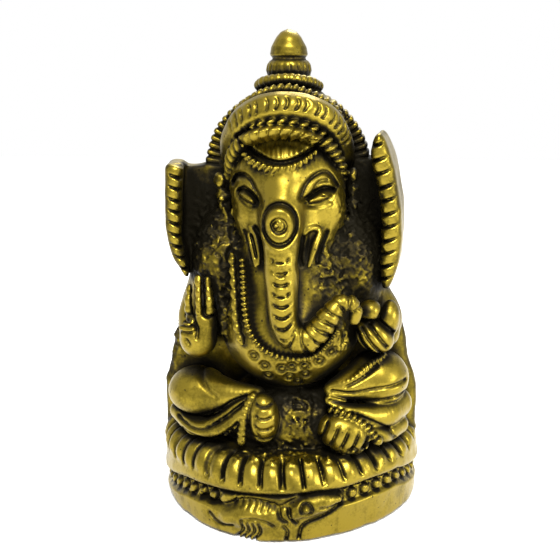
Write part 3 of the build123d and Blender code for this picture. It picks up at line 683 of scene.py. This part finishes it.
def model_arms(clay):
    clay.tube("forearm_right", [(-12.4, 0.4, 38.0), (-15.5, 0.4, 31.6), (-15.0, -3.4, 28.4)],
            [2.8, 2.8, 2.6], 1.0)
    clay.egg("hand_right", (-14.1, -6.1, 29.2), (2.95, 2.5, 3.2), 0.6)
    clay.egg("hand_right", (-13.2, -6.2, 31.4), (2.1, 1.9, 3.0), 0.5)
    fingers = [
        ((-15.1, -5.6, 31.6), (-15.4, -6.2, 34.9), (-15.2, -5.6, 37.4)),
        ((-13.7, -6.6, 31.6), (-13.6, -7.2, 35.0), (-13.7, -6.6, 39.0)),
        ((-12.2, -6.4, 31.6), (-12.0, -6.9, 34.6), (-12.4, -6.2, 38.6)),
    ]
    for finger in fingers:
        clay.tube("hand_right", finger, [0.85, 0.75, 0.6], 0.15, rope_twist(1.55, 0.16, 0.0))
    clay.tube("hand_right", [(-16.0, -7.3, 31.1), (-14.4, -7.6, 31.1)], [0.95, 0.95], 0.2)
    clay.tube("hand_right", [(-15.9, -7.2, 30.2), (-14.6, -7.5, 30.3)], [0.8, 0.8], 0.2)
    for z in (30.7, 31.6):
        clay.chase([(-16.6, z + 0.1), (-15.4, z - 0.1), (-14.2, z + 0.2)], 0.4, 0.22, PALM_FRONT)
    clay.chases([
        (0.55, 0.28, [(-14.6, 37.8), (-14.5, 34.6), (-14.4, 32.6), (-13.8, 31.2), (-13.9, 29.9)]),
        (0.45, 0.22, [(-12.9, 38.8), (-12.9, 35.6), (-12.9, 33.6)]),
        (0.45, 0.2, [(-12.8, 33.3), (-12.1, 33.0), (-11.5, 33.3)]),
        (0.5, 0.3, [(-15.5, 29.4), (-15.1, 28.8)]),
    ], PALM_FRONT)
    clay.tube("forearm_left", [(11.3, 0.2, 37.6), (15.3, 0.4, 32.0), (15.0, -3.2, 30.0)], [2.6, 2.7, 2.6],
            1.0)
    clay.egg("hand_left", (15.5, -6.2, 32.9), (1.9, 2.3, 3.1), 0.4, (0, 8, 0))
    clay.egg("modak", (12.7, -8.2, 34.9), (1.75, 1.8, 1.7), 0.25)
    clay.egg("hand_left", (13.5, -7.2, 30.7), (3.3, 2.7, 2.5), 0.35, (0, 38, 0))
    clay.chases([
        (0.6, 0.26, [(15.0, 35.9), (14.3, 34.4), (13.9, 33.3)]),
        (0.65, 0.3, [(14.1, 33.2), (15.0, 32.5), (16.2, 31.4)]),
        (0.6, 0.28, [(12.7, 32.7), (13.8, 31.4), (15.3, 29.4)]),
        (0.55, 0.24, [(11.6, 32.2), (12.7, 30.4), (14.4, 28.3)]),
        (0.55, 0.24, [(10.9, 31.6), (11.8, 29.8), (13.4, 27.9)]),
        (0.5, 0.25, [(10.6, 33.0), (12.0, 33.6), (13.9, 33.4)]),
    ], FIST_FRONT)


# ---- legs ----

def model_legs(clay):
    clay.egg("leg_right", (-14.6, -4.2, 19.4), (4.9, 4.8, 4.0), 0.6, (0, 8, 0))
    clay.tube("leg_right", [(-13.4, -5.4, 19.6), (-9.0, -7.8, 20.4), (-4.4, -9.2, 21.3)], [3.6, 2.4, 1.1],
            0.8)
    clay.tube("hem_right", [(-18.2, -3.6, 15.6), (-14.4, -8.4, 14.9), (-10.0, -10.6, 15.9),
            (-7.0, -10.8, 18.2), (-5.0, -10.4, 20.4)],
              [1.5, 1.4, 1.3, 1.1, 0.7], 0.35)
    clay.tube("hem_right", [(-16.0, -6.8, 15.8), (-12.2, -9.2, 15.9), (-9.0, -10.0, 18.0),
            (-6.6, -9.9, 20.2), (-4.4, -9.6, 21.4)],
              [1.1, 1.0, 1.0, 0.8, 0.6], 0.3)
    clay.chases([
        (0.6, 0.3, [(-18.8, 17.6), (-16.4, 16.6), (-13.6, 16.8), (-10.6, 18.2), (-8.2, 20.2),
                (-5.6, 21.2)]),
        (0.5, 0.26, [(-17.6, 15.8), (-14.0, 15.3), (-10.8, 16.6), (-8.0, 18.9), (-5.6, 20.8)]),
        (0.45, 0.26, [(-16.6, 14.3), (-12.6, 13.9), (-9.6, 15.2), (-7.2, 17.4)]),
        (0.35, 0.4, [(-13.8, 23.2), (-12.4, 21.6), (-10.8, 20.8)]),
    ], LEG_FRONT)
    clay.egg("foot_right", (-3.3, -10.9, 17.9), (2.35, 2.5, 4.1), 0.35)
    for number in range(4):
        z = 20.6 - 1.8 * number
        clay.chase([(-4.6, z + 0.5), (-3.9, z), (-2.7, z - 0.1), (-1.7, z + 0.3)], 0.5, 0.2, TOE_FRONT,
                0.6)
    clay.chase([(-4.0, 20.0), (-4.4, 17.6), (-3.9, 15.6)], 0.25, 0.25, TOE_FRONT)

    clay.egg("leg_left", (14.4, -4.4, 22.6), (4.9, 4.9, 4.6), 0.6)
    clay.tube("leg_left", [(13.0, -5.6, 23.0), (9.8, -8.0, 22.8), (7.0, -9.2, 22.4)], [3.6, 2.5, 1.2],
            0.8)
    clay.tube("hem_left", [(17.4, -3.4, 18.0), (15.4, -6.8, 17.6), (12.6, -9.0, 18.0), (9.4, -10.2, 19.8),
            (6.8, -10.2, 21.0)],
              [2.6, 2.3, 1.8, 1.2, 0.8], 0.5)
    clay.tube("hem_left", [(17.8, -4.8, 14.8), (15.6, -8.0, 14.6), (13.4, -10.0, 15.6)], [1.6, 1.4, 1.1],
            0.4)
    clay.tube("leg_left", [(8.4, -9.8, 23.2), (10.4, -9.6, 24.2), (12.6, -8.4, 25.7), (15.2, -6.0, 27.2)],
            [0.5, 0.6, 0.6, 0.4], 0.25,
              rope_twist(0.75, 0.2, 0.8))
    clay.chases([
        (0.4, 0.28, [(9.2, 23.2), (11.8, 24.4), (14.0, 25.9)]),
        (0.5, 0.3, [(7.2, 22.4), (10.2, 22.2), (14.0, 22.6), (18.4, 23.2)]),
        (0.55, 0.3, [(6.8, 21.0), (10.2, 20.4), (14.0, 20.4), (18.4, 21.0)]),
        (0.4, 0.3, [(9.8, 19.4), (12.8, 18.0), (15.6, 16.0), (17.0, 14.0)]),
    ], LEG_FRONT)
    clay.egg("foot_left", (9.2, -10.9, 15.9), (4.3, 3.0, 3.2), 0.35, (0, 22, 0))
    for number in range(5):
        shift = 1.5 * number
        clay.chase([(6.9 + shift, 18.7 - 0.6 * number), (6.3 + shift, 17.0 - 0.55 * number),
                (5.3 + 1.05 * shift, 14.4 - 0.2 * number)],
                   0.6, 0.22, (-18, -9), 0.8)
    for x, z in ((10.5, 13.9), (12.6, 14.2)):
        clay.ring((x, z), 0.6, 0.4, 0.2, 0.35, TOE_FRONT)

    clay.tube("anklet_right", [(-4.9, -10.4, 21.4), (-5.9, -11.2, 19.4), (-6.4, -11.7, 17.2),
            (-6.7, -12.0, 14.6)], [0.5] * 4, 0.2,
              beads(0.95, 0.45))
    clay.tube("anklet_left", [(6.6, -11.0, 19.8), (9.2, -11.6, 19.3), (11.8, -11.5, 17.7),
            (14.2, -11.0, 14.9)], [0.55, 0.65, 0.7, 0.8], 0.2,
              rope_twist(0.9, 0.35, 0.2))


# ---- ornaments ----

def model_ornaments(clay):
    clay.tube("garland", [(-6.6, -8.4, 42.8), (-6.3, -9.6, 39.4), (-6.0, -11.0, 36.0),
            (-5.3, -12.2, 32.9), (-3.7, -12.9, 30.5),
                          (-1.4, -13.2, 29.2), (1.5, -13.3, 28.7), (4.3, -12.8, 29.0), (6.3, -11.9, 30.6),
                                  (7.8, -10.9, 32.8)],
              [0.45] * 10, 0.25, rope_twist(0.82, 0.32, 0.0))
    clay.tube("leaf_strand", [(-8.3, -7.2, 43.0), (-8.0, -8.2, 40.0), (-7.7, -9.2, 36.6),
            (-7.4, -10.2, 33.2), (-6.5, -11.2, 30.2)],
              [0.5] * 5, 0.3, lambda along, across,
                      length: 0.35 * np.abs(np.sin(along * pi / 1.7)) - 0.15)
    spots = [(-4.7, 28.3), (-3.0, 26.8), (-0.4, 26.5), (1.1, 26.9), (3.0, 27.0), (5.2, 27.6), (7.0, 28.9),
            (-2.6, 24.8), (0.7, 24.9),
             (3.1, 25.3), (1.9, 23.7)]
    for x, z in spots:
        clay.ring((x, z), 0.62, 0.42, 0.26, 0.12, (-16, -8))
        rows = clay.near(np.array([x - 1, -16, z - 1]), np.array([x + 1, -8, z + 1]))
        p = clay.points[rows]
        clay.claim("belly_discs", rows, (np.hypot(p[..., 0] - x, p[..., 2] - z) < 0.95) & (p[...,
                1] < -8))


GROUNDS = [  # stippled places: centre, radii, amount, grain, shift of the noise
    ((2.4, -9.0, 18.0), (3.9, 5.5, 5.8), 0.45, 0.62, 0.0),
    ((-11.5, -3.0, 45.0), (6.5, 7.0, 12.5), 0.38, 0.62, 3.1),
    ((11.0, -3.0, 46.0), (5.5, 7.5, 13.0), 0.3, 0.5, 5.7),
    ((6.8, -7.5, 40.5), (4.2, 5.5, 6.0), 0.32, 0.6, 9.2),
    ((-9.6, -5.5, 33.5), (2.0, 5.5, 7.0), 0.4, 0.55, 1.9),
    ((-9.0, -9.0, 16.0), (4.6, 4.5, 3.6), 0.3, 0.6, 2.5),
    ((-20.0, 5.0, 28.0), (3.4, 8.0, 15.0), 0.2, 0.8, 4.4),
    ((8.6, -9.8, 30.8), (2.2, 4.0, 4.0), 0.35, 0.55, 6.1),
    ((0.0, -13.0, 13.2), (15.0, 5.0, 1.6), 0.35, 0.6, 7.7),
]


def texture_grounds(clay):
    """The stippled grounds, and the slight unevenness of the whole casting."""
    clay.tube("shoulder_right", [(-10.9, -5.0, 38.8), (-10.5, -4.6, 35.2), (-10.0, -5.6, 32.6),
            (-9.7, -7.0, 30.4)],
              [0.75, 0.85, 0.8, 0.5], 0.3)
    for centre, radii, amount, grain, shift in GROUNDS:
        clay.rough(centre, radii, amount, grain, shift)
    close = np.flatnonzero(np.abs(clay.skin).min(axis=1) < 0.6)
    p = clay.points[close]
    clay.skin[close] += (0.10 * noise(p, 4.1, 2.0) + 0.045 * noise(p, 1.3, 8.0)).astype(np.float32)


def sculpt(clay):
    model_base(clay)
    model_mouse(clay)
    model_body(clay)
    head_shape(clay)
    model_ears(clay)
    model_crown(clay)
    model_trunk(clay)
    model_face(clay)
    model_brow(clay)
    model_arms(clay)
    model_legs(clay)
    model_ornaments(clay)
    texture_grounds(clay)


# ---- from the field to a mesh ----

low = np.array(cad_box[0]) / MM - 2.0
high = np.array(cad_box[1]) / MM + 2.0
block_size = BLOCK * VOXEL
blocks = np.ceil((high - low) / block_size).astype(int)
size = blocks * BLOCK


def fill_field():
    """The field on a full grid: fine where the skin passes, coarse elsewhere."""
    corner = np.stack(np.meshgrid(*(np.arange(n) for n in blocks), indexing="ij"), axis=-1).reshape(-1, 3)
    middle = low + (corner + 0.5) * block_size
    coarse = Clay(middle[:, None, :], 3.0 + block_size)
    sculpt(coarse)
    values = coarse.skin[:, 0]
    fine_rows = np.abs(values) < 0.87 * block_size + 0.9
    grid = np.repeat(np.repeat(np.repeat(values.reshape(blocks), BLOCK, 0), BLOCK, 1), BLOCK, 2)
    owner = np.zeros(size, np.uint8)
    inner = np.stack(np.meshgrid(*(np.arange(BLOCK),) * 3, indexing="ij"), axis=-1).reshape(-1, 3)
    chosen = corner[fine_rows]
    fine = Clay(low + (chosen[:, None, :] * BLOCK + inner[None] + 0.5) * VOXEL, 1.0)
    sculpt(fine)
    cut = (blocks[0], BLOCK, blocks[1], BLOCK, blocks[2], BLOCK)
    where = (chosen[:, 0], slice(None), chosen[:, 1], slice(None), chosen[:, 2])
    grid.reshape(cut)[where] = fine.skin.reshape(-1, BLOCK, BLOCK, BLOCK)
    owner.reshape(cut)[where] = fine.node.reshape(-1, BLOCK, BLOCK, BLOCK)
    return grid, owner


def sample(grid, p):
    """The grid's value at points, read between its voxels."""
    q = np.clip((p - low) / VOXEL - 0.5, 0, np.array(grid.shape) - 1.001)
    i = q.astype(int)
    t = q - i
    total = 0.0
    for dx in (0, 1):
        for dy in (0, 1):
            for dz in (0, 1):
                weight = (t[:, 0] if dx else 1 - t[:, 0]) * (t[:, 1] if dy else 1 - t[:, 1])
                weight = weight * (t[:, 2] if dz else 1 - t[:, 2])
                total = total + weight * grid[i[:, 0] + dx, i[:, 1] + dy, i[:, 2] + dz]
    return total


def slope(grid, p, reach):
    """The direction in which the grid's value rises."""
    parts = []
    for axis in range(3):
        offset = np.zeros(3)
        offset[axis] = reach
        parts.append(sample(grid, p + offset) - sample(grid, p - offset))
    out = np.stack(parts, axis=1)
    return out / (np.linalg.norm(out, axis=1, keepdims=True) + 1e-9)


def net(grid):
    """A mesh of quads on the field's zero level, one vertex to each cell that it crosses."""
    solid = grid < 0
    mixed = np.zeros(tuple(n - 1 for n in solid.shape), np.int8)
    for dx in (0, 1):
        for dy in (0, 1):
            for dz in (0, 1):
                width, depth, height = mixed.shape
                mixed += solid[dx:width + dx, dy:depth + dy, dz:height + dz]
    cells = np.argwhere((mixed > 0) & (mixed < 8))
    label = np.full(mixed.shape, -1, np.int32)
    label[tuple(cells.T)] = np.arange(len(cells))
    total = np.zeros((len(cells), 3))
    count = np.zeros(len(cells))
    for axis in range(3):
        others = [n for n in range(3) if n != axis]
        for a in (0, 1):
            for b in (0, 1):
                start = cells.copy()
                start[:, others[0]] += a
                start[:, others[1]] += b
                end = start.copy()
                end[:, axis] += 1
                first = grid[tuple(start.T)]
                second = grid[tuple(end.T)]
                hit = (first < 0) != (second < 0)
                t = np.where(hit, first / np.where(hit, first - second, 1), 0)
                point = start + 0.0
                point[:, axis] += t
                total += point * hit[:, None]
                count += hit
    vertices = low + (total / count[:, None] + 0.5) * VOXEL
    quads = []
    for axis in range(3):
        u, v = (axis + 1) % 3, (axis + 2) % 3
        first = np.take(solid, range(solid.shape[axis] - 1), axis=axis)
        second = np.take(solid, range(1, solid.shape[axis]), axis=axis)
        edges = np.argwhere(first != second)
        within = (edges[:, u] > 0) & (edges[:, v] > 0)
        within = within & (edges[:, u] < solid.shape[u] - 1) & (edges[:, v] < solid.shape[v] - 1)
        edges = edges[within]
        ring = []
        for du, dv in ((-1, -1), (0, -1), (0, 0), (-1, 0)):
            cell = edges.copy()
            cell[:, u] += du
            cell[:, v] += dv
            ring.append(label[tuple(cell.T)])
        quad = np.stack(ring, axis=1)
        leaving = first[tuple(edges.T)]
        quad[~leaving] = quad[~leaving][:, ::-1]
        quads.append(quad)
    quads = np.concatenate(quads)
    return vertices, quads[(quads >= 0).all(axis=1)]


PAINTED_SHADE_PLACES = [  # places darkened with painted shade, such as the ear hollows, behind the hands and under the belly: centre, radii, amount
    ((-13.4, -0.5, 48.0), (4.4, 6.5, 9.8), 1.0),
    ((11.6, -0.5, 49.0), (3.8, 6.5, 11.5), 1.0),
    ((-10.4, -3.0, 41.5), (4.2, 6.0, 9.5), 0.45),
    ((9.8, -3.0, 43.0), (4.0, 6.5, 8.5), 0.6),
    ((6.8, -7.5, 41.0), (3.8, 5.0, 6.0), 0.3),
    ((1.0, -8.0, 20.5), (10.0, 7.0, 2.6), 0.5),
    ((2.4, -9.0, 17.0), (4.0, 5.0, 4.6), 0.35),
    ((-9.5, -8.5, 16.0), (4.5, 4.5, 3.6), 0.25),
    ((-19.5, 4.0, 28.0), (3.6, 7.0, 14.0), 0.35),
    ((-10.5, -4.5, 32.0), (2.4, 5.0, 7.0), 0.3),
    ((0.0, -15.0, 7.6), (13.0, 4.0, 1.4), 0.2),
]


# Painted shade: each listed place darkens the deep channel by its amount, fading out towards the egg's
# rim.
def painted_shade(p):
    total = np.zeros(len(p))
    for centre, radii, amount in PAINTED_SHADE_PLACES:
        inside = 1.5 - 1.5 * np.sqrt((((p - centre) / np.array(radii)) ** 2).sum(axis=1))
        total += amount * np.clip(inside, 0, 1)
    return total


def sculpture():
    grid, owner = fill_field()
    vertices, quads = net(grid)
    for _ in range(2):
        vertices -= sample(grid, vertices)[:, None] * slope(grid, vertices, VOXEL) * 0.8
    normals = slope(grid, vertices, VOXEL)
    cell = np.clip(((vertices - low) / VOXEL).astype(int), 0, np.array(grid.shape) - 1)
    node = owner[tuple(cell.T)]
    # Occlusion of the skin at four reaches darkens the colour: painted shade in the recesses, along with
    # the patina that gathers in the grooves.
    shade = []
    for reach in (0.35, 0.8, 1.8, 3.6):
        open_air = sample(grid, vertices + normals * reach)
        shade.append(np.clip(1 - open_air / reach, 0, 1))
    edge = np.clip(1 + sample(grid, vertices - normals * 0.5) / 0.5, 0, 1)
    fine = 0.5 * shade[0] + 0.5 * shade[1]
    deep = 0.5 * shade[2] + 0.5 * shade[3]
    # On the back the deep painted shade keeps only its darkest part.
    plain = step(vertices[:, 1], 0.5, 3.0)
    deep = deep * (1 - plain) + np.clip((deep - 0.5) * 1.4, 0, 1) * plain
    # Painted shade in the listed places.
    deep = deep + painted_shade(vertices)
    # On the brow fan the patina and painted shade are cut to 0.3, which lightens the painted shade under
    # the rope.
    fan_shade_scale = np.where(node == NUMBER["brow_fan"], 0.3, 1.0)
    fine, deep = fine * fan_shade_scale, deep * fan_shade_scale
    return vertices, quads, normals, node, np.column_stack([fine, deep, edge, np.ones(len(fine))])


# ---- material ----

def brass_material():
    """Aged brass: gold where hands have polished it, olive between, black in the recesses from patina and
    painted shade.
    """
    material = bpy.data.materials.new("aged_brass")
    material.use_nodes = True
    nodes = material.node_tree.nodes
    links = material.node_tree.links
    surface = nodes["Principled BSDF"]

    def maths(operation, a, b=None, clamp=False):
        made = nodes.new("ShaderNodeMath")
        made.operation = operation
        made.use_clamp = clamp
        for socket, value in zip(made.inputs, (a, b)):
            if value is None:
                continue
            if isinstance(value, (int, float)):
                socket.default_value = value
            else:
                links.new(value, socket)
        return made.outputs[0]

    def ramp(value, stops):
        made = nodes.new("ShaderNodeValToRGB")
        while len(made.color_ramp.elements) < len(stops):
            made.color_ramp.elements.new(0.5)
        for element, (place, colour) in zip(made.color_ramp.elements, stops):
            element.position = place
            element.color = (*colour, 1)
        links.new(value, made.inputs["Fac"])
        return made.outputs["Color"]

    place = nodes.new("ShaderNodeTexCoord").outputs["Object"]

    def grain(scale, detail, rough=0.6):
        made = nodes.new("ShaderNodeTexNoise")
        made.inputs["Scale"].default_value = scale
        made.inputs["Detail"].default_value = detail
        made.inputs["Roughness"].default_value = rough
        links.new(place, made.inputs["Vector"])
        return made.outputs["Fac"]

    # Per-vertex attribute: occlusion in red and green, which is painted shade along with the patina of
    # the grooves; rubbed convex edges in blue.
    wear_and_shade = nodes.new("ShaderNodeAttribute")
    wear_and_shade.attribute_name = "wear_and_shade"
    split = nodes.new("ShaderNodeSeparateColor")
    links.new(wear_and_shade.outputs["Color"], split.inputs["Color"])
    fine, deep, edge = split.outputs["Red"], split.outputs["Green"], split.outputs["Blue"]

    clouds = grain(420, 5)
    flecks = grain(2600, 4, 0.7)
    stains = grain(130, 3)
    pores = nodes.new("ShaderNodeTexVoronoi")
    pores.inputs["Scale"].default_value = 900
    links.new(place, pores.inputs["Vector"])
    pore = maths("LESS_THAN", pores.outputs["Distance"], 0.16)
    few = maths("GREATER_THAN", grain(700, 2), 0.56)
    pore = maths("MULTIPLY", pore, few)

    # Grime and painted shade: 0 on open polished metal, 1 in the recesses. The occlusion channels paint
    # shade over the patina; the noises and pores add grime.
    grime_and_shade = maths("ADD", maths("MULTIPLY", fine, 0.95), maths("MULTIPLY", deep, 0.85))
    grime_and_shade = maths("ADD", grime_and_shade, maths("MULTIPLY", maths("SUBTRACT", clouds, 0.5), 0.42))
    grime_and_shade = maths("ADD", grime_and_shade, maths("MULTIPLY", maths("SUBTRACT", flecks, 0.5), 0.5))
    grime_and_shade = maths("SUBTRACT", grime_and_shade, maths("MULTIPLY", edge, 0.4))
    grime_and_shade = maths("ADD", grime_and_shade, maths("MULTIPLY", maths("SUBTRACT", stains, 0.45), 0.55))
    grime_and_shade = maths("ADD", grime_and_shade, maths("MULTIPLY", pore, 0.4), clamp=True)
    # Colour from gold to near black as the grime and painted shade rise.
    colour = ramp(grime_and_shade, [
        (0.05, (0.245, 0.182, 0.022)),
        (0.24, (0.130, 0.097, 0.010)),
        (0.43, (0.060, 0.045, 0.006)),
        (0.62, (0.024, 0.018, 0.005)),
        (0.86, (0.006, 0.005, 0.0025)),
    ])
    links.new(colour, surface.inputs["Base Color"])
    roughness = maths("ADD", maths("MULTIPLY", grime_and_shade, 0.32), 0.32)
    speckle = maths("MULTIPLY", maths("SUBTRACT", flecks, 0.5), 0.16)
    roughness = maths("ADD", roughness, speckle, clamp=True)
    links.new(roughness, surface.inputs["Roughness"])
    shine = maths("SUBTRACT", 0.5, maths("MULTIPLY", grime_and_shade, 0.46), clamp=True)
    links.new(shine, surface.inputs["Specular IOR Level"])
    metal = maths("SUBTRACT", 1.0, maths("MULTIPLY", maths("MULTIPLY", grime_and_shade, grime_and_shade), 0.55), clamp=True)
    links.new(metal, surface.inputs["Metallic"])

    height = maths("MULTIPLY", clouds, 0.6)
    height = maths("ADD", height, maths("MULTIPLY", flecks, 0.22))
    height = maths("SUBTRACT", height, maths("MULTIPLY", pore, 0.5))
    bumps = nodes.new("ShaderNodeBump")
    bumps.inputs["Strength"].default_value = 0.5
    bumps.inputs["Distance"].default_value = 0.12 * MM
    links.new(height, bumps.inputs["Height"])
    links.new(bumps.outputs["Normal"], surface.inputs["Normal"])
    return material


def floor_material():
    material = bpy.data.materials.new("pale_floor")
    material.use_nodes = True
    surface = material.node_tree.nodes["Principled BSDF"]
    surface.inputs["Base Color"].default_value = (0.9, 0.9, 0.9, 1)
    surface.inputs["Roughness"].default_value = 0.9
    return material


# ---- pieces ----

def make_pieces():
    vertices, quads, normals, node, wear_and_shade = sculpture()
    brass = brass_material()
    face_node = node[quads[:, 0]]
    for name in NODES:
        faces = quads[face_node == NUMBER[name]]
        used, index = np.unique(faces, return_inverse=True)
        index = index.reshape(-1)
        mesh = bpy.data.meshes.new(name + "_brass")
        mesh.vertices.add(len(used))
        mesh.vertices.foreach_set("co", (vertices[used] * MM).ravel())
        mesh.loops.add(len(index))
        mesh.loops.foreach_set("vertex_index", index.astype(np.int32))
        mesh.polygons.add(len(faces))
        mesh.polygons.foreach_set("loop_start", np.arange(0, len(index), 4, dtype=np.int32))
        mesh.update(calc_edges=True)
        mesh.validate()
        mesh.polygons.foreach_set("use_smooth", np.ones(len(mesh.polygons), bool))
        # Per vertex: patina and painted shade from the occlusion, and the rubbed convex edges.
        layer = mesh.attributes.new("wear_and_shade", "FLOAT_COLOR", "POINT")
        layer.data.foreach_set("color", wear_and_shade[used].ravel())
        mesh.normals_split_custom_set_from_vertices(normals[used])
        mesh.materials.append(brass)
        piece = bpy.data.objects.new(name + "_brass", mesh)
        bpy.context.scene.collection.objects.link(piece)
        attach(piece, "root")
        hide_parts(name)


make_pieces()


# ---- stage, light and camera ----

def add_floor():
    mesh = bpy.data.meshes.new("floor")
    reach = 0.5
    corners = [(-reach, -reach, 0), (reach, -reach, 0), (reach, reach, 0), (-reach, reach, 0)]
    mesh.from_pydata(corners, [], [(0, 1, 2, 3)])
    mesh.materials.append(floor_material())
    floor = bpy.data.objects.new("floor", mesh)
    bpy.context.scene.collection.objects.link(floor)


def add_light(name, place, target, across, power, colour=(1, 1, 1)):
    lamp = bpy.data.lights.new(name, "AREA")
    lamp.shape = "DISK"
    lamp.size = across
    lamp.energy = power
    lamp.color = colour
    light = bpy.data.objects.new(name, lamp)
    light.location = place
    light.rotation_euler = (Vector(target) - Vector(place)).to_track_quat("-Z", "Y").to_euler()
    bpy.context.scene.collection.objects.link(light)


def add_camera():
    """The photograph's view: close, a little from the figure's left, looking down."""
    azimuth, pitch = radians(4), radians(15)
    distance, height = 0.125, 0.0707
    lens = bpy.data.cameras.new("photo_view")
    lens.sensor_width = 36
    lens.lens = 51.5571
    lens.clip_start = 0.005
    lens.shift_x = -0.017857
    camera = bpy.data.objects.new("photo_view", lens)
    camera.location = (distance * sin(azimuth), -distance * cos(azimuth), height)
    camera.rotation_euler = (pi / 2 - pitch, 0, azimuth)
    bpy.context.scene.collection.objects.link(camera)
    bpy.context.scene.camera = camera


def add_world():
    world = bpy.data.worlds.new("studio")
    bpy.context.scene.world = world
    world.use_nodes = True
    world.node_tree.nodes["Background"].inputs["Color"].default_value = (1, 1, 1, 1)
    world.node_tree.nodes["Background"].inputs["Strength"].default_value = 1.0


add_floor()
middle_of_idol = (0, 0, 0.035)
add_light("key", (0.04, -0.28, 0.36), middle_of_idol, 0.12, 2.8, (1, 0.98, 0.94))
add_light("fill", (0.34, -0.20, 0.12), middle_of_idol, 0.16, 0.9)
add_light("back", (0.05, 0.25, 0.35), middle_of_idol, 0.2, 1.2)
add_world()
add_camera()
view = bpy.context.scene.view_settings
view.view_transform = "Standard"
